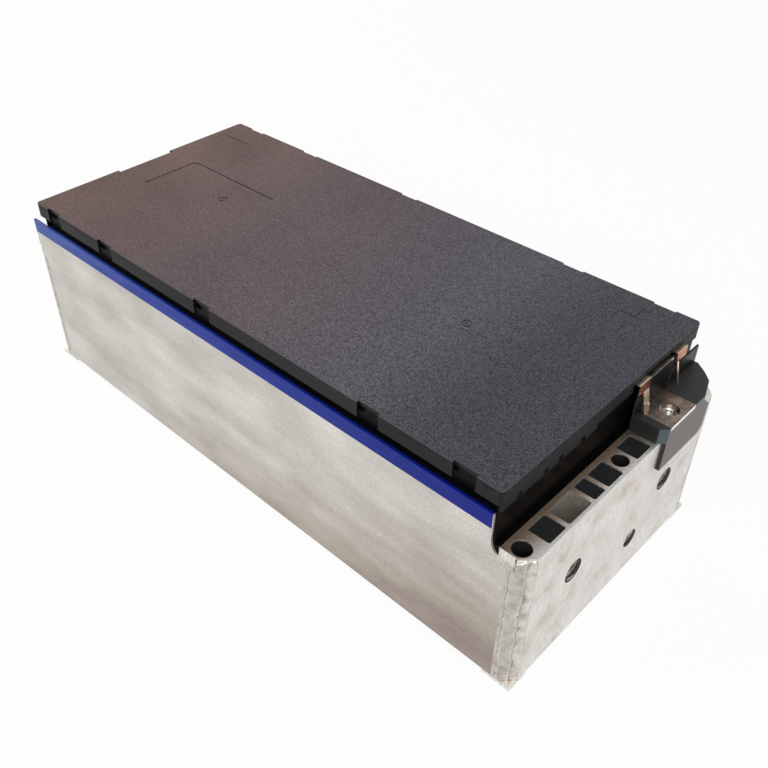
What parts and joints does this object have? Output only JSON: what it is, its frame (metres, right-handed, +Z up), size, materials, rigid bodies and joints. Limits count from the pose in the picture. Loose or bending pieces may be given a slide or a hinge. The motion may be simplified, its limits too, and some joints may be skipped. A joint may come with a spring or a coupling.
{
  "type": "ev battery module",
  "caption": "Electric-vehicle battery module: prismatic cells in a welded aluminium frame with end plates, a black cover and bolted output terminals.",
  "frame": {"origin": "middle of the footprint, on the surface that the module stands on", "axes": "+X along the module towards the end with the terminal marked a, -Y towards the side with the plain corner bores, +Z up"},
  "size_m": [0.359, 0.151, 0.111],
  "materials": {
    "mill_aluminium": "mill finish, dull",
    "cast_aluminium": "dull, fine grained",
    "weld_bead": "as welded, rippled",
    "blue_film": "semi-gloss film",
    "navy_sheet": "satin sheet",
    "black_insulator": "satin moulded",
    "black_cover": "spark-eroded grain",
    "black_plug": "moulded plug",
    "black_base": "satin moulded",
    "black_sleeve": "shrink sleeve",
    "black_connector": "moulded",
    "blue_wrapped_can": "film-wrapped can",
    "compression_foam": "foam",
    "grey_silicone_pad": "soft pad",
    "busbar_aluminium": "rolled",
    "terminal_metal": "tarnished copper alloy",
    "spring_bronze": "bright bronze strip",
    "zinc_steel": "zinc plated",
    "amber_circuit": "polyimide",
    "sensor_resin": "resin bead"
  },
  "bodies": {
    "root": {"bar_sleeve_a": "black_sleeve", "bar_sleeve_b": "black_sleeve", "base_screws": "zinc_steel", "bottom_plate": "mill_aluminium", "bus_bar_1": "busbar_aluminium", "bus_bar_2": "busbar_aluminium", "bus_bar_3": "busbar_aluminium", "carrier_tray": "black_insulator", "cell_01": "blue_wrapped_can", "cell_02": "blue_wrapped_can", "cell_03": "blue_wrapped_can", "cell_04": "blue_wrapped_can", "cell_05": "blue_wrapped_can", "cell_06": "blue_wrapped_can", "cell_07": "blue_wrapped_can", "cell_08": "blue_wrapped_can", "cell_09": "blue_wrapped_can", "cell_10": "blue_wrapped_can", "cell_11": "blue_wrapped_can", "cell_12": "blue_wrapped_can", "cell_pad_01": "compression_foam", "cell_pad_02": "compression_foam", "cell_pad_03": "compression_foam", "cell_pad_04": "compression_foam", "cell_pad_05": "compression_foam", "cell_pad_06": "compression_foam", "cell_pad_07": "compression_foam", "cell_pad_08": "compression_foam", "cell_pad_09": "compression_foam", "cell_pad_10": "compression_foam", "cell_pad_11": "compression_foam", "corner_welds": "weld_bead", "edge_film_front": "blue_film", "edge_film_rear": "blue_film", "end_insulator_a": "black_insulator", "end_insulator_b": "black_insulator", "end_plate_a": "cast_aluminium", "end_plate_b": "cast_aluminium", "output_bar_a": "terminal_metal", "output_bar_b": "terminal_metal", "pocket_plugs_a": "black_plug", "pocket_plugs_b": "black_plug", "screw_caps": "black_base", "sense_circuit": "amber_circuit", "sense_connector": "black_connector", "side_plate_front": "mill_aluminium", "side_plate_rear": "mill_aluminium", "side_sheet_front": "navy_sheet", "side_sheet_rear": "navy_sheet", "spring_clips_a": "spring_bronze", "spring_clips_b": "spring_bronze", "temperature_sensors": "sensor_resin", "terminal_base_a": "black_base", "terminal_base_b": "black_base", "terminal_nut_a": "zinc_steel", "terminal_nut_b": "zinc_steel", "thermal_pad": "grey_silicone_pad", "top_cover": "black_cover"}
  },
  "joints": []
}
